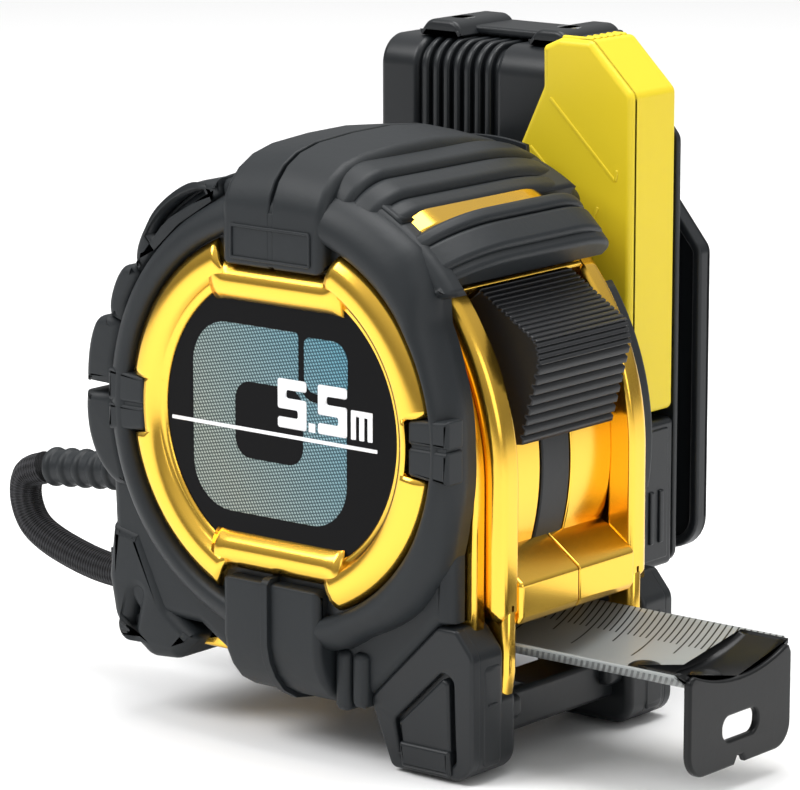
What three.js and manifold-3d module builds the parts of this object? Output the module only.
// A pocket tape measure with a metallized case, a rubber bumper, a toothed front foot, a wrist strap
// and a belt holder with a release lever. Millimetres, +Z up, +X the way the blade comes out,
// -Y the label side and +Y the holder side. Inside this file z is counted from the middle of the
// label ring, and the finished group is then moved so that its origin is under the middle of its box.

import * as THREE from "three";
import { mergeVertices } from "three/addons/utils/BufferGeometryUtils.js";
import Module from "manifold-3d";

const wasm = await Module();
wasm.setup();

// Driving dimensions.
const GAP = 0.3; // between two pieces that touch
const WALL = 1.8; // case wall

const CASE_HALF = 19; // from the seam to a case side
const CASE_RADIUS = 32; // back and top of the case, about the label ring's middle
const CASE_BOTTOM = 34.5; // from the ring's middle down to the case's underside
const CORNER_RADIUS = 12; // the lower back corner of the case
const BUMPER_THICK = 2.4;
const BUMPER_HALF = 24; // from the seam to the bumper's sides

const RING_OUTER = 25.8; // label ring
const RING_INNER = 20.7;
const RING_PROUD = 26.5; // from the seam to the ring's crown
const LABEL_BACK = -22.5; // y of the label plate's back
const LABEL_THICK = 2.2;
const BAR_WIDTH = 5.2; // the ring's straight bars
const BAR_LENGTH = 19.2;
const TAB_WIDTH = 17.4; // rubber tabs over the ring

const LOCK_AXIS = { x: -8, z: -6 }; // the lock's arc is about this line
const FRONT_RADIUS = 35; // front panel, about the lock axis
const FRONT_X = 28.2; // front of the case's side strips
const POST_PROUD = 3.5; // the posts beside the button stand out from the panel
const POST_Y = 12.3; // inner face of a post
const POST_THICK = 3;
const PANEL_TOP = 17.5; // height of the window's upper edge
const BAR_FRONT = 31; // front of the bar over the mouth
const BAR_BOTTOM = -25;
const BAR_TOP = -19;
const STRIP_WIDTH = 2.4;

const BLADE_WIDTH = 25;
const BLADE_THICK = 0.4;
const BLADE_RISE = 2.6; // how far the blade's edges stand above its middle
const BLADE_LOW = -30.6; // underside of the blade's middle
const BLADE_OUT = 25.7; // from the bar's front to the blade's end
const BLADE_IN = 32; // from the bar's front back to the straight run's inner end
const MOUTH_CLEAR = 0.8;

const REEL_AXIS = { x: -4, z: -3 };
const COIL_RADIUS = 23.3;
const DRUM_RADIUS = 15;
const DRUM_WALL = 1.4;
const FLANGE_RADIUS = 24.5;
const FLANGE_THICK = 1;
const POST_RADIUS = 3.6;

const TONGUE_WIDTH = 6;
const TONGUE_THICK = 1.5;
const SLOT_CLEAR = 0.4;
const BUTTON_WIDTH = 20;
const SHOE_WIDTH = 10;
const SHOE_INNER = 32; // inner radius of the brake shoe about the lock axis
const SHOE_TOP = -26.8; // degrees below the lock axis
const SHOE_END = -30;

const HOOK_THICK = 1.2;
const HOOK_WIDTH = 24.6;
const HOOK_DROP = 13.5; // from the blade's edges down to the hook's lower edge
const HOOK_PLAY = 0.6; // the hook slides this far each way on its rivets
const RIVET_RADIUS = 1.2;

const FOOT_HALF = 21.5;
const FOOT_LOW = -44.5;
const FOOT_FRONT = 30;
const FOOT_BACK = 14.8;

const HOLDER_NEAR = BUMPER_HALF + 0.6; // side of the holder towards the case
const HOLDER_FAR = HOLDER_NEAR + 10.6;
const HOLDER_BACK = -25;
const HOLDER_FRONT = 21;
const HOLDER_LOW = -27.5;
const HOLDER_TOP = 44.6;
const HOLDER_FACE = HOLDER_NEAR + 1.9; // ribbed upper face
const CLIP_NEAR = HOLDER_FAR + 5.6;
const CLIP_THICK = 1.8;
const CLIP_FRONT = 21.8;
const BLOCK_EDGE = 6.8; // front edge of the holder's ribbed block, clear of the lever's travel
const PLATE_THICK = 1; // the holder's back plate
const RIB_COUNT = 8;
const RIB_FIRST = -17.5; // x of the first groove
const RIB_PITCH = 1.85;
const BRIDGE_LOBES = [
  [-20, -12.3],
  [-0.7, 6.5],
]; // each lobe of the clip's bridge from x to x
const BRIDGE_SCREWS = [-16, 2.8];
const BRIDGE_Y = HOLDER_FAR - 0.7;
const LEVER_LOW = -5;
const LEVER_TOP = 47;
const LEVER_PIN = { x: 16, z: 0, radius: 1.2 };
const SPRING = { radius: 2.5, wire: 0.8, turns: 4, y0: HOLDER_NEAR + 3.4, y1: HOLDER_FAR - 2.2 };

const DOCK = { x0: -14, x1: 12, z0: -24, z1: 20, thick: 2.4 }; // plate on the holder side
const STUD = { half: 8, z0: -12, z1: 12, reach: 2.8 }; // the dock's stud in the holder's socket
const DOCK_SCREWS = [
  { x: -1, z: -19 },
  { x: -1, z: 16 },
];

const BACK = -CASE_RADIUS; // x of the case's back
const PIN = { x: BACK + 1.6, z: -16.5, radius: 1 }; // strap anchor pin
const STRAP_Y = -4.6;
const ANCHOR = { x0: BACK + 4, z0: -21.5, z1: -11.7, half: 3 }; // pocket the strap is anchored in
const STRAP_RADIUS = 2.35;
const SLEEVE_RADIUS = 2.5;
const SLEEVE_RIDGES = 9;
const SLEEVE_FROM = { x: BACK - 3, z: -15.5 };
const SLEEVE_TO = { x: BACK - 28.9, z: -17.9 };
const EYE_RADIUS = 2;
const EYE_THICK = 3;
const STRAP_ROUTE = [
  [BACK - 29.7, -18.1],
  [BACK - 33.3, -19.7],
  [BACK - 34, -23],
  [BACK - 32, -27],
  [BACK - 23, -30.5],
  [BACK - 13, -31.4],
  [BACK - 5, -29.2],
  [BACK - 1.4, -27],
]; // the cord's middle line in x and z
const STRAP_STEPS = 26;

const TAB_PROUD = 1.8;
const TAB_ROUND = 7; // the top tab's near edge
const RIM_RADIUS = 30.5; // the proud rim of the bumper round the label
const BELLY_X = 4; // the bumper's underside ends here
const HEEL = { x0: -30, x1: -18.6, z: -37.5 }; // the bumper's lower back corner
const KEEL = { x0: -27, x1: -16, half: 5.5, z: -39 };
const BAND_LOW = 19; // lower edge of the bumper's band over the button
const WINDOW = [54, 59]; // degrees about the lock axis
const LOBES = [
  [36.4, 122, 145],
  [36, 150, 161],
  [37.4, 163, 178],
  [37.6, 181, 200],
]; // bumper lobes at the back: radius and the two angles, in degrees
const LOBE_FAR = 12; // the lobes and the top tab end here, and the bumper falls away behind them
const BUTTON_PROFILE = [
  [37.2, 7.1],
  [42.9, 21.5],
  [43.4, 25.5],
  [38.6, 39.3],
]; // reach from the lock axis and the angle, from the button's lower edge to its upper edge
const HOOK_SLOT = { half: 3.5, high: 3.8 };

// The four case screws, as places in the side view with the radius of the boss round each.
const SCREWS = [
  { name: "rear_top", x: -20.3, z: 19.8, boss: 2.6 },
  { name: "rear_bottom", x: -25.5, z: -27.5, boss: 2.6 },
  { name: "front_top", x: 9.8, z: 20.9, boss: 2.5 },
  { name: "front_middle", x: 22.7, z: -8, boss: 2 },
];
const SCREW_RADIUS = 1;
const SCREW_HEAD = { radius: 1.7, depth: 1 };
const SCREW_END = -12; // y of the screw tips

// Finishes.
const LOOKS = {
  gold: { color: 0xd8a320, metalness: 1, roughness: 0.12 },
  rubber: { color: 0x1d2023, metalness: 0, roughness: 0.6 },
  black: { color: 0x17191b, metalness: 0, roughness: 0.4 },
  label: { color: 0x0b0c0d, metalness: 0, roughness: 0.2 },
  blade: { color: 0xc9cdc9, metalness: 0, roughness: 0.35 },
  steel: { color: 0x9a9da0, metalness: 1, roughness: 0.3 },
  spring: { color: 0x565b63, metalness: 1, roughness: 0.35 },
  yellow: { color: 0xe6cf24, metalness: 0, roughness: 0.4 },
  nylon: { color: 0x141415, metalness: 0, roughness: 0.9 },
};

const tape = new THREE.Group();

// A closed three.js geometry as a manifold-3d solid.
function solid(geometry) {
  geometry.deleteAttribute("normal");
  geometry.deleteAttribute("uv");
  const merged = mergeVertices(geometry, 1e-4);
  return new wasm.Manifold(
    new wasm.Mesh({
      numProp: 3,
      vertProperties: merged.attributes.position.array,
      triVerts: new Uint32Array(merged.index.array),
    }),
  );
}

function addPiece(name, made, look) {
  const { vertProperties, triVerts, numProp, numVert } = made.getMesh();
  const positions = new Float32Array(numVert * 3);
  for (let i = 0; i < numVert; i++) {
    positions.set(vertProperties.subarray(i * numProp, i * numProp + 3), i * 3);
  }
  const geometry = new THREE.BufferGeometry();
  geometry.setAttribute("position", new THREE.BufferAttribute(positions, 3));
  geometry.setIndex(new THREE.BufferAttribute(triVerts, 1));
  geometry.computeVertexNormals();
  const mesh = new THREE.Mesh(geometry, new THREE.MeshStandardMaterial(LOOKS[look]));
  mesh.name = name;
  tape.add(mesh);
  return mesh;
}

// An outline in X and Z, made solid from one y to another.
function slab(shape, y0, y1, curveSegments = 14) {
  const low = Math.min(y0, y1);
  const high = Math.max(y0, y1);
  const geometry = new THREE.ExtrudeGeometry(shape, {
    depth: high - low,
    bevelEnabled: false,
    curveSegments,
  });
  geometry.rotateX(Math.PI / 2);
  geometry.translate(0, high, 0);
  return solid(geometry);
}

// An outline in Y and Z, made solid from one x to another.
function bar(shape, x0, x1, curveSegments = 10) {
  const geometry = new THREE.ExtrudeGeometry(shape, {
    depth: x1 - x0,
    bevelEnabled: false,
    curveSegments,
  });
  const turn = new THREE.Matrix4().makeBasis(
    new THREE.Vector3(0, 1, 0),
    new THREE.Vector3(0, 0, 1),
    new THREE.Vector3(1, 0, 0),
  );
  geometry.applyMatrix4(turn);
  geometry.translate(x0, 0, 0);
  return solid(geometry);
}

function box(x0, x1, y0, y1, z0, z1) {
  const geometry = new THREE.BoxGeometry(
    Math.abs(x1 - x0),
    Math.abs(y1 - y0),
    Math.abs(z1 - z0),
  );
  geometry.translate((x0 + x1) / 2, (y0 + y1) / 2, (z0 + z1) / 2);
  return solid(geometry);
}

// A profile of [radius, y] points turned about a line along Y.
function turned(profile, { x, z }, segments = 36) {
  const points = profile.map(([radius, y]) => new THREE.Vector2(radius, y));
  const geometry = new THREE.LatheGeometry(points, segments);
  geometry.translate(x, 0, z);
  return solid(geometry);
}

// A round rod along Y.
function rodY(radius, y0, y1, { x, z }, segments = 24) {
  const low = Math.min(y0, y1);
  const high = Math.max(y0, y1);
  return turned([[0, low], [radius, low], [radius, high], [0, high]], { x, z }, segments);
}

// A round rod along Z.
function rodZ(radius, z0, z1, x, y, segments = 20) {
  const geometry = new THREE.CylinderGeometry(radius, radius, z1 - z0, segments);
  geometry.rotateX(Math.PI / 2);
  geometry.translate(x, y, (z0 + z1) / 2);
  return solid(geometry);
}

// A ring along Y between two radii.
function tubeY(inner, outer, y0, y1, centre, segments = 36) {
  const low = Math.min(y0, y1);
  const high = Math.max(y0, y1);
  const profile = [[inner, low], [outer, low], [outer, high], [inner, high], [inner, low]];
  return turned(profile, centre, segments);
}

function roundedBox(x0, x1, z0, z1, radius) {
  const shape = new THREE.Shape();
  shape.moveTo(x0 + radius, z0);
  shape.lineTo(x1 - radius, z0);
  shape.absarc(x1 - radius, z0 + radius, radius, -Math.PI / 2, 0);
  shape.lineTo(x1, z1 - radius);
  shape.absarc(x1 - radius, z1 - radius, radius, 0, Math.PI / 2);
  shape.lineTo(x0 + radius, z1);
  shape.absarc(x0 + radius, z1 - radius, radius, Math.PI / 2, Math.PI);
  shape.lineTo(x0, z0 + radius);
  shape.absarc(x0 + radius, z0 + radius, radius, Math.PI, 1.5 * Math.PI);
  return shape;
}

function polygon(points) {
  return new THREE.Shape(points.map(([x, z]) => new THREE.Vector2(x, z)));
}

// A stretch of a ring about the lock axis, between two radii and two angles in degrees.
function lockSector(inner, outer, from, to) {
  const { x, z } = LOCK_AXIS;
  const a = THREE.MathUtils.degToRad(from);
  const b = THREE.MathUtils.degToRad(to);
  const shape = new THREE.Shape();
  shape.absarc(x, z, outer, a, b);
  shape.absarc(x, z, inner, b, a, true);
  return shape;
}

// Where an arc about the lock axis meets one about the ring's middle, as an angle about each.
function archAngles(frontRadius, backRadius) {
  const { x, z } = LOCK_AXIS;
  const apart = Math.hypot(x, z);
  const along = (backRadius ** 2 - frontRadius ** 2 - apart ** 2) / (2 * apart);
  const across = Math.sqrt(frontRadius ** 2 - along ** 2);
  const dx = (x * along + z * across) / apart;
  const dz = (z * along - x * across) / apart;
  return { front: Math.atan2(dz, dx), back: Math.atan2(z + dz, x + dx) };
}

// The side view of the case, grown outwards by a distance.
function caseShape(grow = 0, front = LOCK_AXIS.x + FRONT_RADIUS) {
  const { x, z } = LOCK_AXIS;
  const frontRadius = front + grow - x;
  const backRadius = CASE_RADIUS + grow;
  const angles = archAngles(frontRadius, backRadius);
  const low = -CASE_BOTTOM - grow;
  const corner = CORNER_RADIUS + grow;
  const shape = new THREE.Shape();
  shape.moveTo(front + grow, low);
  shape.lineTo(front + grow, z);
  shape.absarc(x, z, frontRadius, 0, angles.front);
  shape.absarc(0, 0, backRadius, angles.back, Math.PI);
  shape.absarc(corner - backRadius, low + corner, corner, Math.PI, 1.5 * Math.PI);
  return shape;
}

// The hollow of the case, which follows the front panel's arc down to the mouth.
function hollowShape() {
  const { x, z } = LOCK_AXIS;
  const frontRadius = FRONT_RADIUS - WALL;
  const backRadius = CASE_RADIUS - WALL;
  const angles = archAngles(frontRadius, backRadius);
  const low = -CASE_BOTTOM + WALL;
  const corner = CORNER_RADIUS - WALL;
  const foot = Math.asin((BAR_BOTTOM - z) / frontRadius);
  const shape = new THREE.Shape();
  shape.moveTo(x + frontRadius * Math.cos(foot), low);
  shape.lineTo(x + frontRadius * Math.cos(foot), BAR_BOTTOM);
  shape.absarc(x, z, frontRadius, foot, angles.front);
  shape.absarc(0, 0, backRadius, angles.back, Math.PI);
  shape.absarc(corner - backRadius, low + corner, corner, Math.PI, 1.5 * Math.PI);
  return shape;
}

// A post beside the button: it follows the panel's arc, drops straight and ends in a pointed tooth.
function postShape() {
  const { x, z } = LOCK_AXIS;
  const inner = FRONT_RADIUS - WALL / 2;
  const outer = FRONT_RADIUS + POST_PROUD;
  const top = Math.asin((PANEL_TOP + 1 - z) / outer);
  const tip = BLADE_LOW - 2.8;
  const shape = new THREE.Shape();
  shape.moveTo(x + outer - 0.6, tip);
  shape.lineTo(x + outer, tip + 2);
  shape.absarc(x, z, outer, 0, top);
  shape.absarc(x, z, inner, top, 0, true);
  shape.lineTo(x + inner, tip + 4);
  return shape;
}

// The bar over the mouth, with a top that slopes down to the front.
function mouthBarShape() {
  const back = LOCK_AXIS.x + FRONT_RADIUS - WALL - 8;
  return polygon([
    [BAR_FRONT - 0.8, BAR_BOTTOM],
    [BAR_FRONT, BAR_BOTTOM + 0.8],
    [BAR_FRONT, BAR_TOP],
    [BAR_FRONT - 5.8, BAR_TOP + 3.6],
    [back + 6, BAR_TOP + 3.6],
    [back + 4, BAR_BOTTOM],
  ]);
}

// One gold half of the case. Side is -1 on the label side and 1 on the holder side.
function caseHalf(side) {
  const seam = side * (GAP / 2);
  const inner = side * (CASE_HALF - WALL);
  const outer = side * CASE_HALF;
  const windowHalf = POST_Y;
  let made = slab(caseShape(), seam, outer)
    .add(slab(caseShape(0, FRONT_X), side * (CASE_HALF - STRIP_WIDTH), outer))
    .add(slab(postShape(), side * POST_Y, side * (POST_Y + POST_THICK)))
    .subtract(slab(hollowShape(), seam - side, inner));
  // The panel between the posts keeps to the arc below the lock axis as well.
  made = made.subtract(
    slab(lockSector(FRONT_RADIUS, FRONT_RADIUS + 12, -40, 0), seam - side, side * windowHalf),
  );
  made = made.add(slab(mouthBarShape(), seam, side * (windowHalf + 0.6)));
  made = made.subtract(mouth()).subtract(tongueSlot()).subtract(shoePocket());
  // A boss on each side wall carries the centre post.
  const postBoss = tubeY(
    POST_RADIUS + GAP,
    POST_RADIUS + 2.2,
    inner - side * 1.6,
    inner + side * 0.5,
    REEL_AXIS,
    20,
  );
  made = made.add(postBoss);
  for (const screw of SCREWS) {
    made = made.add(rodY(screw.boss, seam, inner + side * 0.5, screw, 16));
  }
  for (const screw of SCREWS) {
    const far = side > 0 ? CASE_HALF + 1 : SCREW_END - GAP;
    made = made.subtract(rodY(SCREW_RADIUS + GAP, seam - side, far, screw, 12));
    if (side > 0) {
      const seat = CASE_HALF - SCREW_HEAD.depth - GAP;
      made = made.subtract(rodY(SCREW_HEAD.radius + GAP, seat, CASE_HALF + 1, screw, 16));
    }
  }
  if (side < 0) {
    made = made.add(rodY(RING_OUTER - 0.4, outer + 0.2, LABEL_BACK + GAP, { x: 0, z: 0 }, 48));
  } else {
    made = made.subtract(dockScrewHoles());
  }
  return side < 0 ? withStrapPocket(made) : made;
}

// The opening that the blade leaves through.
function mouth() {
  const half = BLADE_WIDTH / 2 + MOUTH_CLEAR;
  return box(8, BAR_FRONT + 4, -half, half, BLADE_LOW - MOUTH_CLEAR, BAR_BOTTOM);
}

// The slot in the front panel that the lock's band slides in.
function tongueSlot() {
  const half = TONGUE_WIDTH / 2 + SLOT_CLEAR;
  const inner = FRONT_RADIUS - WALL - SLOT_CLEAR;
  return slab(lockSector(inner, FRONT_RADIUS + GAP, -46, 42), -half, half);
}

// Room for the brake shoe behind the bar.
function shoePocket() {
  const half = SHOE_WIDTH / 2 + SLOT_CLEAR;
  return slab(lockSector(SHOE_INNER - SLOT_CLEAR, FRONT_RADIUS + GAP, -52, -25), -half, half);
}

// A pocket in the back of the left half, with a cross hole for the strap's pin.
function withStrapPocket(half) {
  const { x0, z0, z1, half: reach } = ANCHOR;
  const back = -CASE_RADIUS + 0.5;
  const low = STRAP_Y - reach;
  const high = STRAP_Y + reach;
  const walls = box(back, x0 + 1.2, low - 1.2, -GAP / 2, z0 - 1.2, z1 + 1.2);
  return half
    .add(walls)
    .subtract(box(-CASE_RADIUS - 9, x0, low, high, z0, z1))
    .subtract(rodY(PIN.radius + GAP, low - 0.9, 0, PIN, 12));
}

function dockScrewHoles() {
  const [low, high] = DOCK_SCREWS.map((place) =>
    rodY(SCREW_RADIUS + GAP, CASE_HALF - WALL - 1, CASE_HALF + 1, place, 12),
  );
  return low.add(high);
}

addPiece("case_left", caseHalf(-1), "gold");
addPiece("case_right", caseHalf(1), "gold");

// Four screws from the holder side draw the two halves together.
function caseScrew(screw) {
  const head = CASE_HALF - SCREW_HEAD.depth;
  const shank = rodY(SCREW_RADIUS, SCREW_END, head + 0.2, screw, 12);
  return shank.add(rodY(SCREW_HEAD.radius, head, CASE_HALF, screw, 16));
}
for (const screw of SCREWS) {
  addPiece("case_screw_" + screw.name, caseScrew(screw), "steel");
}

// The label: a round plate, and the gold ring round it with a straight bar across its top and
// its bottom where the rubber tabs come in.
function labelRing() {
  const crown = -RING_PROUD;
  const profile = [
    [RING_INNER, LABEL_BACK],
    [RING_OUTER, LABEL_BACK],
    [RING_OUTER, crown + 1.6],
    [RING_OUTER - 1.1, crown + 0.3],
    [RING_OUTER - 2.6, crown],
    [RING_INNER + 1.4, crown + 0.2],
    [RING_INNER, crown + 1.1],
    [RING_INNER, LABEL_BACK],
  ];
  let ring = turned(profile.reverse(), { x: 0, z: 0 }, 48);
  for (const end of [-1, 1]) {
    const edge = end * RING_INNER;
    const half = BAR_LENGTH / 2;
    ring = ring.subtract(box(-half, half, crown - 1, LABEL_BACK + 1, edge, end * (RING_OUTER + 1)));
    ring = ring.add(box(-half - 0.5, half + 0.5, crown, LABEL_BACK, edge - end * BAR_WIDTH, edge));
  }
  return ring;
}

function labelPlate() {
  const reach = RING_INNER - GAP;
  let plate = rodY(reach, LABEL_BACK, LABEL_BACK - LABEL_THICK, { x: 0, z: 0 }, 48);
  for (const end of [-1, 1]) {
    const edge = end * (RING_INNER - BAR_WIDTH - GAP);
    plate = plate.subtract(box(-30, 30, -40, 0, edge, end * 30));
  }
  return plate;
}
addPiece("label_ring", labelRing(), "gold");
addPiece("label_plate", labelPlate(), "label");

// The rubber bumper goes round the case, open at the front panel, over the label and at the dock.
function bumper() {
  const near = -BUMPER_HALF;
  const far = BUMPER_HALF - 3;
  const centre = { x: 0, z: 0 };
  let made = slab(caseShape(BUMPER_THICK), near, far);
  for (const [radius, from, to] of LOBES) {
    made = made.add(slab(lobe(radius, from, to), near, LOBE_FAR));
  }
  made = made.add(box(HEEL.x0, HEEL.x1, near, far, HEEL.z, -CASE_BOTTOM));
  made = made.add(box(KEEL.x0, KEEL.x1, -KEEL.half, KEEL.half, KEEL.z, -CASE_BOTTOM));
  // The top tab runs over the crown and down over the ring, and a lower tab comes up to it.
  const tabHalf = TAB_WIDTH / 2;
  const tabTop = CASE_RADIUS + BUMPER_THICK + TAB_PROUD;
  const proud = near - RING_PROUD + BUMPER_HALF;
  made = made.add(bar(tabShape(proud, tabTop), -tabHalf, tabHalf, 8));
  const chin = -CASE_BOTTOM - BUMPER_THICK;
  made = made.add(box(-tabHalf, tabHalf, proud, near + 3, chin, -RING_INNER - GAP));
  made = made.add(tubeY(RING_OUTER + GAP, RIM_RADIUS, proud, near + 1, centre, 48));
  // The front is cut back to the panel's frame below the band, except for the two cheeks.
  made = made.subtract(box(BELLY_X, 40, proud, far + 1, -60, BAND_LOW));
  const cheek = caseShape(GAP, FRONT_X);
  made = made.add(slab(cheek, near, -CASE_HALF - GAP)).add(slab(cheek, CASE_HALF + GAP, far));
  // Room for the case, the label ring, the foot and the dock.
  made = made.subtract(slab(caseShape(GAP, FRONT_X), -CASE_HALF - GAP, CASE_HALF + GAP));
  made = made.subtract(ringRoom());
  made = made.subtract(slab(footSide(GAP), proud, far + 1));
  const { x0, x1, z0, z1 } = DOCK;
  made = made.subtract(box(x0 - 1, x1 + 1, CASE_HALF, 40, z0 - 1, z1 + 1));
  // A window behind the band shows the case, and the back is open for the strap.
  made = made.subtract(slab(lockSector(30, 50, ...WINDOW), -17, 15));
  made = made.subtract(box(-50, -CASE_RADIUS + 3, STRAP_Y - 3.6, STRAP_Y + 3.6, -33, -11));
  for (const screw of SCREWS) {
    made = made.subtract(rodY(SCREW_HEAD.radius + 0.6, CASE_HALF, 40, screw, 12));
  }
  return made;
}

// The top tab in Y and Z: up the near side, round over the crown, and sloping off at its far end.
function tabShape(near, top) {
  const low = RING_INNER + GAP;
  const shape = new THREE.Shape();
  shape.moveTo(near, low);
  shape.lineTo(LOBE_FAR, low);
  shape.lineTo(LOBE_FAR, top - TAB_PROUD);
  shape.lineTo(LOBE_FAR - TAB_ROUND, top);
  shape.lineTo(near + TAB_ROUND, top);
  shape.absarc(near + TAB_ROUND, top - TAB_ROUND, TAB_ROUND, Math.PI / 2, Math.PI);
  return shape;
}

// A bump on the bumper's outline, between two angles about the ring's middle.
function lobe(radius, from, to) {
  const a = THREE.MathUtils.degToRad(from);
  const b = THREE.MathUtils.degToRad(to);
  const shape = new THREE.Shape();
  shape.absarc(0, 0, radius, a, b);
  shape.absarc(0, 0, CASE_RADIUS - 2, b, a, true);
  return shape;
}

// The label ring with its straight bars and everything in front of it, less the two tabs.
function ringRoom() {
  const reach = RING_OUTER + GAP;
  const half = TAB_WIDTH / 2;
  const round = rodY(reach, -40, -CASE_HALF, { x: 0, z: 0 }, 48);
  const edge = RING_INNER + GAP;
  const tabs = box(-half, half, -40, LABEL_BACK, edge, 40).add(
    box(-half, half, -40, LABEL_BACK, -40, -edge),
  );
  return round.subtract(tabs);
}
addPiece("bumper", bumper(), "rubber");

// The reel: a drum that holds the power spring, a cover, and the blade wound round them.
function reelDrum() {
  const bore = POST_RADIUS + SLOT_CLEAR;
  const side = BLADE_WIDTH / 2 + 0.5;
  return turned(
    [
      [bore, side],
      [DRUM_RADIUS - DRUM_WALL, side],
      [DRUM_RADIUS - DRUM_WALL, GAP - side],
      [DRUM_RADIUS, GAP - side],
      [DRUM_RADIUS, side],
      [FLANGE_RADIUS, side],
      [FLANGE_RADIUS, side + FLANGE_THICK],
      [bore, side + FLANGE_THICK],
      [bore, side],
    ],
    REEL_AXIS,
  );
}

function reelCover() {
  const side = -BLADE_WIDTH / 2 - 0.5;
  return tubeY(POST_RADIUS + SLOT_CLEAR, FLANGE_RADIUS, side, side - FLANGE_THICK, REEL_AXIS);
}

function bladeCoil() {
  const half = BLADE_WIDTH / 2;
  return tubeY(DRUM_RADIUS + GAP, COIL_RADIUS, -half, half, REEL_AXIS, 40);
}

function powerSpring() {
  const turns = 5;
  const steps = 18 * turns;
  const inner = POST_RADIUS + 0.9;
  const outer = DRUM_RADIUS - DRUM_WALL - 1;
  const ribbon = 0.7;
  const place = (i, side) => {
    const angle = (i / steps) * turns * 2 * Math.PI;
    const radius = inner + ((outer - inner) * i) / steps + side * ribbon;
    return [REEL_AXIS.x + radius * Math.cos(angle), REEL_AXIS.z + radius * Math.sin(angle)];
  };
  const there = Array.from({ length: steps + 1 }, (_, i) => place(i, 1));
  const back = Array.from({ length: steps + 1 }, (_, i) => place(steps - i, 0));
  return slab(polygon([...there, ...back]), -BLADE_WIDTH / 2 + 1.5, BLADE_WIDTH / 2 - 1.5);
}

addPiece("reel_drum", reelDrum(), "black");
addPiece("reel_cover", reelCover(), "black");
addPiece("blade_coil", bladeCoil(), "blade");
addPiece("power_spring", powerSpring(), "spring");
const postEnd = CASE_HALF - WALL - GAP;
addPiece("centre_post", rodY(POST_RADIUS, -postEnd, postEnd, REEL_AXIS, 20), "steel");

// The straight stretch of blade that is out of the coil, and its hook.
function bladeSection() {
  const half = BLADE_WIDTH / 2;
  const radius = (half ** 2 + BLADE_RISE ** 2) / (2 * BLADE_RISE);
  const angle = Math.asin(half / radius);
  const middle = BLADE_LOW + radius;
  const shape = new THREE.Shape();
  shape.absarc(0, middle, radius, -Math.PI / 2 - angle, -Math.PI / 2 + angle);
  shape.absarc(0, middle, radius - BLADE_THICK, -Math.PI / 2 + angle, -Math.PI / 2 - angle, true);
  return shape;
}

const BLADE_END = BAR_FRONT + BLADE_OUT;
const RIVETS = [
  { name: "front", x: BLADE_END - 3.2 },
  { name: "rear", x: BLADE_END - 9.2 },
];

function bladeStrip() {
  let strip = bar(bladeSection(), BAR_FRONT - BLADE_IN, BLADE_END, 12);
  for (const { x } of RIVETS) {
    strip = strip.subtract(rodZ(RIVET_RADIUS + GAP, BLADE_LOW - 2, BLADE_LOW + 2, x, 0, 14));
  }
  return strip;
}

function rivet({ x }) {
  const low = BLADE_LOW - GAP - HOOK_THICK;
  const high = BLADE_LOW + BLADE_THICK + GAP;
  const shank = rodZ(RIVET_RADIUS, low - 0.4, high + 0.2, x, 0, 14);
  const head = rodZ(RIVET_RADIUS + 1, high, high + 0.7, x, 0, 16);
  const tail = rodZ(RIVET_RADIUS + 0.7, low - GAP - 0.7, low - GAP, x, 0, 16);
  return shank.add(head).add(tail);
}

// The hook is a plate across the blade's end, with a tongue under the blade. The tongue's holes
// are longer than the rivets, so the hook slides by its own thickness.
function hook() {
  const front = BLADE_END + HOOK_PLAY + 0.2;
  const half = HOOK_WIDTH / 2;
  const edge = BLADE_LOW + BLADE_RISE + 0.2;
  const low = edge - HOOK_DROP;
  const corner = 3.4;
  const sag = BLADE_RISE + 0.5;
  const shape = new THREE.Shape();
  shape.moveTo(-half + corner, low);
  shape.lineTo(half - corner, low);
  shape.absarc(half - corner, low + corner, corner, -Math.PI / 2, 0);
  shape.lineTo(half, edge);
  shape.quadraticCurveTo(0, edge - 2 * sag, -half, edge);
  shape.lineTo(-half, low + corner);
  shape.absarc(-half + corner, low + corner, corner, Math.PI, 1.5 * Math.PI);
  const slot = roundedBox(-HOOK_SLOT.half, HOOK_SLOT.half, low + 3, low + 3 + HOOK_SLOT.high, 1.8);
  shape.holes.push(slot);
  let made = bar(shape, front, front + HOOK_THICK, 8);
  const top = BLADE_LOW - GAP;
  made = made.add(box(BLADE_END - 12.5, front + 0.4, -4.6, 4.6, top - HOOK_THICK, top));
  for (const { x } of RIVETS) {
    const reach = RIVET_RADIUS + GAP;
    made = made.subtract(rodZ(reach, top - 3, top + 2, x - HOOK_PLAY, 0, 14));
    made = made.subtract(rodZ(reach, top - 3, top + 2, x + HOOK_PLAY, 0, 14));
    made = made.subtract(box(x - HOOK_PLAY, x + HOOK_PLAY, -reach, reach, top - 3, top + 1));
  }
  return made;
}

addPiece("blade_strip", bladeStrip(), "blade");
for (const place of RIVETS) {
  addPiece("hook_rivet_" + place.name, rivet(place), "steel");
}
addPiece("hook", hook(), "black");

// The lock: a ribbed button, a band that follows the panel's arc, and the shoe at its end that
// presses on the blade.
function lockButton() {
  const { x, z } = LOCK_AXIS;
  const seat = FRONT_RADIUS + SLOT_CLEAR;
  const top = THREE.MathUtils.degToRad(39.3);
  const bottom = THREE.MathUtils.degToRad(7.1);
  const shape = new THREE.Shape();
  shape.moveTo(x + seat * Math.cos(bottom), z + seat * Math.sin(bottom));
  for (const [reach, angle] of BUTTON_PROFILE) {
    const turn = THREE.MathUtils.degToRad(angle);
    shape.lineTo(x + reach * Math.cos(turn), z + reach * Math.sin(turn));
  }
  shape.absarc(x, z, seat, top, bottom, true);
  return slab(shape, -BUTTON_WIDTH / 2, BUTTON_WIDTH / 2, 12);
}

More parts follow.
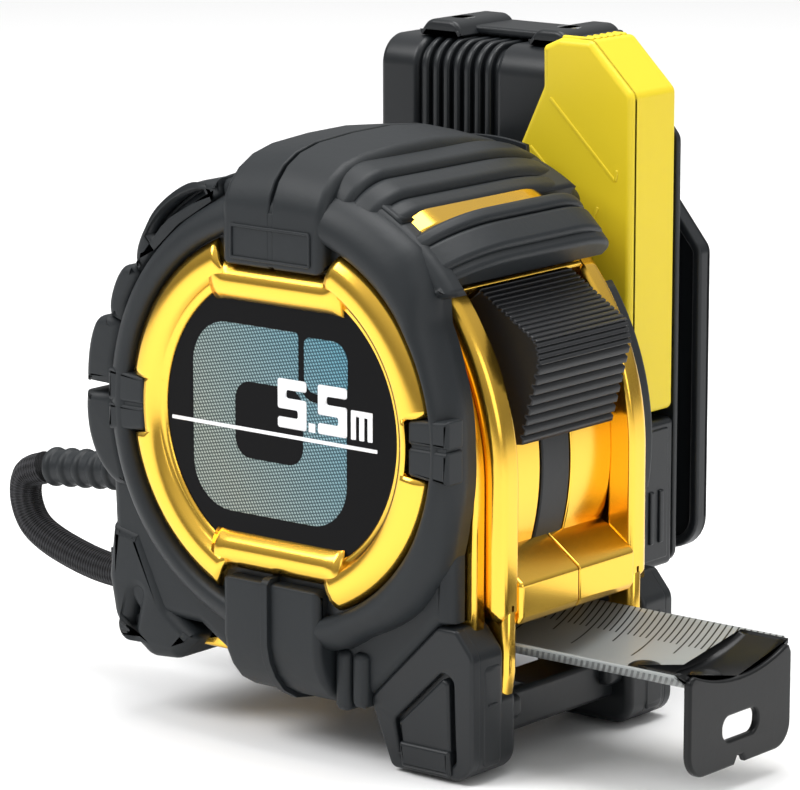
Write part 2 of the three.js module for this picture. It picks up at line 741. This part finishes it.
function lockBand() {
  const outer = FRONT_RADIUS;
  const band = lockSector(outer - TONGUE_THICK, outer, SHOE_TOP + 0.6, 38);
  return slab(band, -TONGUE_WIDTH / 2, TONGUE_WIDTH / 2, 20);
}

function brakeShoe() {
  const shoe = lockSector(SHOE_INNER, FRONT_RADIUS, SHOE_END, SHOE_TOP);
  return slab(shoe, -SHOE_WIDTH / 2, SHOE_WIDTH / 2, 6);
}

addPiece("lock_button", lockButton(), "black");
addPiece("lock_band", lockBand(), "black");
addPiece("brake_shoe", brakeShoe(), "rubber");

// The front foot: a block at each lower corner and a bridge below the blade.
function footSide(grow = 0) {
  const back = FOOT_BACK - grow;
  const front = FOOT_FRONT + grow;
  const shape = new THREE.Shape();
  shape.moveTo(back, FOOT_LOW - grow);
  shape.lineTo(FOOT_FRONT - 3, FOOT_LOW - grow);
  shape.absarc(FOOT_FRONT - 3, FOOT_LOW + 3, 3 + grow, -Math.PI / 2, 0);
  shape.lineTo(front, FOOT_LOW + 19.5 + grow);
  shape.lineTo(FOOT_FRONT - 3, FOOT_LOW + 21.5 + grow);
  shape.lineTo(FOOT_BACK + 6.2, FOOT_LOW + 23.2 + grow);
  shape.lineTo(back, FOOT_LOW + 19.5 + grow);
  return shape;
}

function frontFoot() {
  const inner = POST_Y + POST_THICK + GAP;
  const roof = -CASE_BOTTOM - GAP;
  const side = footSide();
  let made = box(FOOT_BACK + 5, FOOT_FRONT - 3, -13, 13, FOOT_LOW + 4, roof);
  for (const s of [-1, 1]) {
    made = made.add(slab(side, s * inner, s * FOOT_HALF));
    const block = slab(side, s * 12, s * FOOT_HALF);
    made = made.add(block.intersect(box(-60, 60, -60, 60, FOOT_LOW - 5, roof)));
  }
  return made.subtract(slab(caseShape(GAP, FRONT_X), -CASE_HALF - GAP, CASE_HALF + GAP));
}
addPiece("front_foot", frontFoot(), "black");

// The dock: a plate screwed to the holder side of the case, with a stud the holder presses on to.
function dockPlate() {
  const near = CASE_HALF + GAP;
  const far = near + DOCK.thick;
  let made = slab(roundedBox(DOCK.x0, DOCK.x1, DOCK.z0, DOCK.z1, 4), near, far, 6);
  const stud = roundedBox(-STUD.half, STUD.half, STUD.z0, STUD.z1, 3);
  made = made.add(slab(stud, far - 0.2, HOLDER_NEAR + STUD.reach, 6));
  for (const place of DOCK_SCREWS) {
    made = made.subtract(rodY(SCREW_RADIUS + GAP, near - 1, far + 1, place, 12));
  }
  return made;
}

function dockScrew(place) {
  const head = CASE_HALF + GAP + DOCK.thick + GAP;
  const shank = rodY(SCREW_RADIUS, CASE_HALF - WALL - 0.8, head + 0.2, place, 12);
  return shank.add(rodY(SCREW_HEAD.radius, head, head + SCREW_HEAD.depth, place, 16));
}

addPiece("dock_plate", dockPlate(), "black");
addPiece("dock_screw_low", dockScrew(DOCK_SCREWS[0]), "steel");
addPiece("dock_screw_high", dockScrew(DOCK_SCREWS[1]), "steel");

// The holder: a thin back plate, a ribbed block behind the case's top, and a block below the lever.
function holderBody() {
  const back = polygon([
    [HOLDER_BACK, HOLDER_LOW],
    [HOLDER_FRONT, HOLDER_LOW],
    [HOLDER_FRONT, HOLDER_TOP - 11],
    [HOLDER_FRONT - 8, HOLDER_TOP - 2],
    [HOLDER_BACK, HOLDER_TOP - 2],
  ]);
  const block = polygon([
    [HOLDER_BACK, HOLDER_LOW],
    [HOLDER_FRONT, HOLDER_LOW],
    [HOLDER_FRONT, LEVER_LOW - 1],
    [BLOCK_EDGE, LEVER_LOW - 1],
    [BLOCK_EDGE, HOLDER_TOP - 2],
    [HOLDER_BACK, HOLDER_TOP - 2],
  ]);
  let made = slab(back, HOLDER_FAR + GAP, HOLDER_FAR + GAP + PLATE_THICK);
  made = made.add(slab(block, HOLDER_NEAR, HOLDER_FAR + GAP + 0.1));
  // The face above the stud is set back behind the lever's front plate, and its top is rounded.
  made = made.subtract(box(-60, 60, HOLDER_NEAR - 1, HOLDER_FACE, STUD.z1 + 3, 60));
  made = made.add(bar(holderCrown(), HOLDER_BACK, BLOCK_EDGE, 6));
  const stud = roundedBox(
    -STUD.half - SLOT_CLEAR,
    STUD.half + SLOT_CLEAR,
    STUD.z0 - SLOT_CLEAR,
    STUD.z1 + SLOT_CLEAR,
    3,
  );
  made = made.subtract(slab(stud, HOLDER_NEAR - 1, HOLDER_NEAR + STUD.reach + SLOT_CLEAR, 6));
  for (const place of DOCK_SCREWS) {
    made = made.subtract(rodY(SCREW_HEAD.radius + 0.8, HOLDER_NEAR - 1, HOLDER_NEAR + 1, place, 16));
  }
  for (let i = 0; i < RIB_COUNT; i++) {
    const x = RIB_FIRST + i * RIB_PITCH;
    const groove = box(x - 0.4, x + 0.4, HOLDER_FACE - 1, HOLDER_FACE + 0.9, 20, HOLDER_TOP - 2.4);
    made = made.subtract(groove);
  }
  for (const x of BRIDGE_SCREWS) {
    made = made.subtract(rodZ(SCREW_RADIUS + GAP, HOLDER_TOP - 7, HOLDER_TOP + 1, x, BRIDGE_Y, 12));
  }
  const bore = LEVER_PIN.radius + GAP;
  return made.subtract(rodY(bore, HOLDER_FAR - 1, HOLDER_FAR + 3, LEVER_PIN, 16));
}

// The rounded top of the holder's block, as an outline in Y and Z.
function holderCrown() {
  const round = 4;
  const shape = new THREE.Shape();
  shape.moveTo(HOLDER_FACE, HOLDER_TOP - 8);
  shape.lineTo(HOLDER_FAR + GAP + PLATE_THICK, HOLDER_TOP - 8);
  shape.lineTo(HOLDER_FAR + GAP + PLATE_THICK, HOLDER_TOP);
  shape.lineTo(HOLDER_FACE + round, HOLDER_TOP);
  shape.absarc(HOLDER_FACE + round, HOLDER_TOP - round, round, Math.PI / 2, Math.PI);
  return shape;
}
addPiece("holder_body", holderBody(), "black");

// The bridge carries the belt clip: two lobes over the holder's top, joined behind it.
function clipBridge() {
  const low = HOLDER_TOP + GAP;
  const far = CLIP_NEAR + CLIP_THICK;
  let made = box(BRIDGE_LOBES[0][0], BRIDGE_LOBES[1][1], HOLDER_FACE + 8, far, low, low + 1.4);
  for (const [x0, x1] of BRIDGE_LOBES) {
    made = made.add(box(x0, x1, HOLDER_FACE + 4.5, far, low, low + 2.2));
  }
  for (const x of BRIDGE_SCREWS) {
    made = made.subtract(rodZ(SCREW_RADIUS + GAP, low - 1, low + 5, x, BRIDGE_Y, 12));
    made = made.subtract(rodZ(SCREW_HEAD.radius + GAP, low + 1.1, low + 5, x, BRIDGE_Y, 16));
  }
  return made;
}

function bridgeScrew(x) {
  const head = HOLDER_TOP + GAP + 1.1 + GAP;
  const shank = rodZ(SCREW_RADIUS, HOLDER_TOP - 6.5, head + 0.2, x, BRIDGE_Y, 12);
  return shank.add(rodZ(SCREW_HEAD.radius, head, head + 0.8, x, BRIDGE_Y, 16));
}

function beltClip() {
  const top = HOLDER_TOP;
  const low = HOLDER_LOW + 1;
  const shape = new THREE.Shape();
  shape.moveTo(HOLDER_BACK + 5, low);
  shape.lineTo(CLIP_FRONT - 6, low);
  shape.quadraticCurveTo(CLIP_FRONT, low, CLIP_FRONT, low + 6);
  shape.lineTo(CLIP_FRONT, 17);
  shape.lineTo(CLIP_FRONT - 5, 23);
  shape.lineTo(BRIDGE_LOBES[1][1], 33);
  shape.lineTo(BRIDGE_LOBES[1][1], top);
  shape.lineTo(BRIDGE_LOBES[0][0], top);
  shape.lineTo(BRIDGE_LOBES[0][0], 33);
  shape.lineTo(HOLDER_BACK, 27);
  shape.lineTo(HOLDER_BACK, low + 5);
  shape.absarc(HOLDER_BACK + 5, low + 5, 5, Math.PI, 1.5 * Math.PI);
  const plate = slab(shape, CLIP_NEAR, CLIP_NEAR + CLIP_THICK, 8);
  const lip = box(HOLDER_BACK + 6, CLIP_FRONT - 7, CLIP_NEAR - 1, CLIP_NEAR + 0.2, low, low + 3);
  return plate.add(lip);
}
addPiece("clip_bridge", clipBridge(), "black");
addPiece("bridge_screw_back", bridgeScrew(BRIDGE_SCREWS[0]), "steel");
addPiece("bridge_screw_front", bridgeScrew(BRIDGE_SCREWS[1]), "steel");
addPiece("belt_clip", beltClip(), "black");

// The yellow lever turns about a pin near its lower end. Its front plate is broader than its rim.
function releaseLever() {
  const { x, z } = LEVER_PIN;
  const face = polygon([
    [HOLDER_FRONT, LEVER_LOW],
    [HOLDER_FRONT, LEVER_TOP - 7],
    [HOLDER_FRONT - 7.4, LEVER_TOP],
    [HOLDER_FRONT - 12.5, LEVER_TOP],
    [HOLDER_FRONT - 15.5, LEVER_TOP - 1.2],
    [HOLDER_FRONT - 15.4, LEVER_TOP - 7],
    [HOLDER_FRONT - 20.6, LEVER_TOP - 18],
    [HOLDER_FRONT - 20.6, LEVER_TOP - 21],
    [HOLDER_FRONT - 10, LEVER_TOP - 31],
    [HOLDER_FRONT - 10, LEVER_LOW + 1],
  ]);
  const rim = polygon([
    [HOLDER_FRONT, LEVER_LOW],
    [HOLDER_FRONT, LEVER_TOP - 7],
    [HOLDER_FRONT - 7.4, LEVER_TOP],
    [HOLDER_FRONT - 10.6, LEVER_TOP],
    [HOLDER_FRONT - 10.6, LEVER_TOP - 7],
    [HOLDER_FRONT - 10, LEVER_LOW + 1],
  ]);
  let made = slab(face, HOLDER_NEAR, HOLDER_FACE - GAP);
  made = made.add(slab(rim, HOLDER_NEAR, HOLDER_FAR));
  made = made.subtract(rodY(LEVER_PIN.radius + GAP, HOLDER_NEAR + 1, HOLDER_FAR + 1, LEVER_PIN, 16));
  // Room for the coiled spring, open towards the holder's back plate and below.
  const room = SPRING.radius + SPRING.wire + 0.5;
  made = made.subtract(rodY(room, SPRING.y0 - 1, SPRING.y1 + 1, LEVER_PIN, 24));
  return made.subtract(
    box(x - room, x + room, SPRING.y0 - 1, SPRING.y1 + 1, LEVER_LOW - 1, z),
  );
}

function leverSpring() {
  const { radius, wire, turns, y0, y1 } = SPRING;
  class Coil extends THREE.Curve {
    getPoint(t, target = new THREE.Vector3()) {
      const angle = t * turns * 2 * Math.PI;
      return target.set(
        LEVER_PIN.x + radius * Math.cos(angle),
        y0 + (y1 - y0) * t,
        LEVER_PIN.z + radius * Math.sin(angle),
      );
    }
  }
  return tube(new Coil(), wire / 2, turns * 14, 6);
}
addPiece("release_lever", releaseLever(), "yellow");
addPiece(
  "lever_pin",
  rodY(LEVER_PIN.radius, HOLDER_NEAR + 1.3, HOLDER_FAR + GAP + PLATE_THICK, LEVER_PIN, 16),
  "steel",
);
addPiece("lever_spring", leverSpring(), "spring");

// A round section swept along a curve.
function tube(curve, radius, steps, sides) {
  const section = new THREE.Shape(
    Array.from({ length: sides }, (_, i) => {
      const angle = (i / sides) * 2 * Math.PI;
      return new THREE.Vector2(radius * Math.cos(angle), radius * Math.sin(angle));
    }),
  );
  return solid(new THREE.ExtrudeGeometry(section, { steps, extrudePath: curve }));
}

// The strap: a ridged sleeve on the anchor pin, and a round cord that loops back to the case.
function strapSleeve() {
  const eye = slab(eyeShape(), STRAP_Y - EYE_THICK / 2, STRAP_Y + EYE_THICK / 2, 10);
  const length = Math.hypot(SLEEVE_TO.x - SLEEVE_FROM.x, SLEEVE_TO.z - SLEEVE_FROM.z);
  const profile = [[0, 0], [SLEEVE_RADIUS, 0]];
  for (let i = 0; i < SLEEVE_RIDGES; i++) {
    const from = 2 + (i * (length - 4)) / SLEEVE_RIDGES;
    const pitch = (length - 4) / SLEEVE_RIDGES;
    profile.push([SLEEVE_RADIUS, from + pitch * 0.1]);
    profile.push([SLEEVE_RADIUS + 0.4, from + pitch * 0.35]);
    profile.push([SLEEVE_RADIUS + 0.4, from + pitch * 0.65]);
    profile.push([SLEEVE_RADIUS, from + pitch * 0.9]);
  }
  profile.push([SLEEVE_RADIUS, length], [0, length]);
  const geometry = new THREE.LatheGeometry(
    profile.map(([radius, along]) => new THREE.Vector2(radius, along)),
    12,
  );
  const heading = new THREE.Vector3(SLEEVE_TO.x - SLEEVE_FROM.x, 0, SLEEVE_TO.z - SLEEVE_FROM.z);
  const turn = new THREE.Quaternion();
  turn.setFromUnitVectors(new THREE.Vector3(0, 1, 0), heading.normalize());
  geometry.applyQuaternion(turn);
  geometry.translate(SLEEVE_FROM.x, STRAP_Y, SLEEVE_FROM.z);
  return solid(geometry).add(eye).subtract(rodY(PIN.radius + GAP, -20, 20, PIN, 14));
}

// The eye round the pin, drawn out to the sleeve.
function eyeShape() {
  const shape = new THREE.Shape();
  shape.moveTo(SLEEVE_FROM.x - 1, SLEEVE_FROM.z + 2);
  shape.lineTo(SLEEVE_FROM.x - 1, SLEEVE_FROM.z - 2);
  shape.absarc(PIN.x, PIN.z, EYE_RADIUS, -Math.PI / 2, Math.PI / 2);
  return shape;
}

function strapCurve() {
  return new THREE.CatmullRomCurve3(
    STRAP_ROUTE.map(([x, z]) => new THREE.Vector3(x, STRAP_Y, z)),
    false,
    "centripetal",
  );
}
addPiece("strap_pin", rodY(PIN.radius, STRAP_Y - ANCHOR.half - 0.6, -0.5, PIN, 14), "steel");
addPiece("strap_sleeve", strapSleeve(), "rubber");
addPiece("strap", tube(strapCurve(), STRAP_RADIUS, STRAP_STEPS, 10), "nylon");

// The finished group stands on z = 0, with its origin under the middle of its box. The strap is
// left out of that box.
const box3 = new THREE.Box3();
for (const piece of tape.children) {
  if (piece.name !== "strap") {
    box3.expandByObject(piece);
  }
}
const middle = box3.getCenter(new THREE.Vector3());
tape.position.set(-middle.x, -middle.y, -box3.min.z);

export default tape;
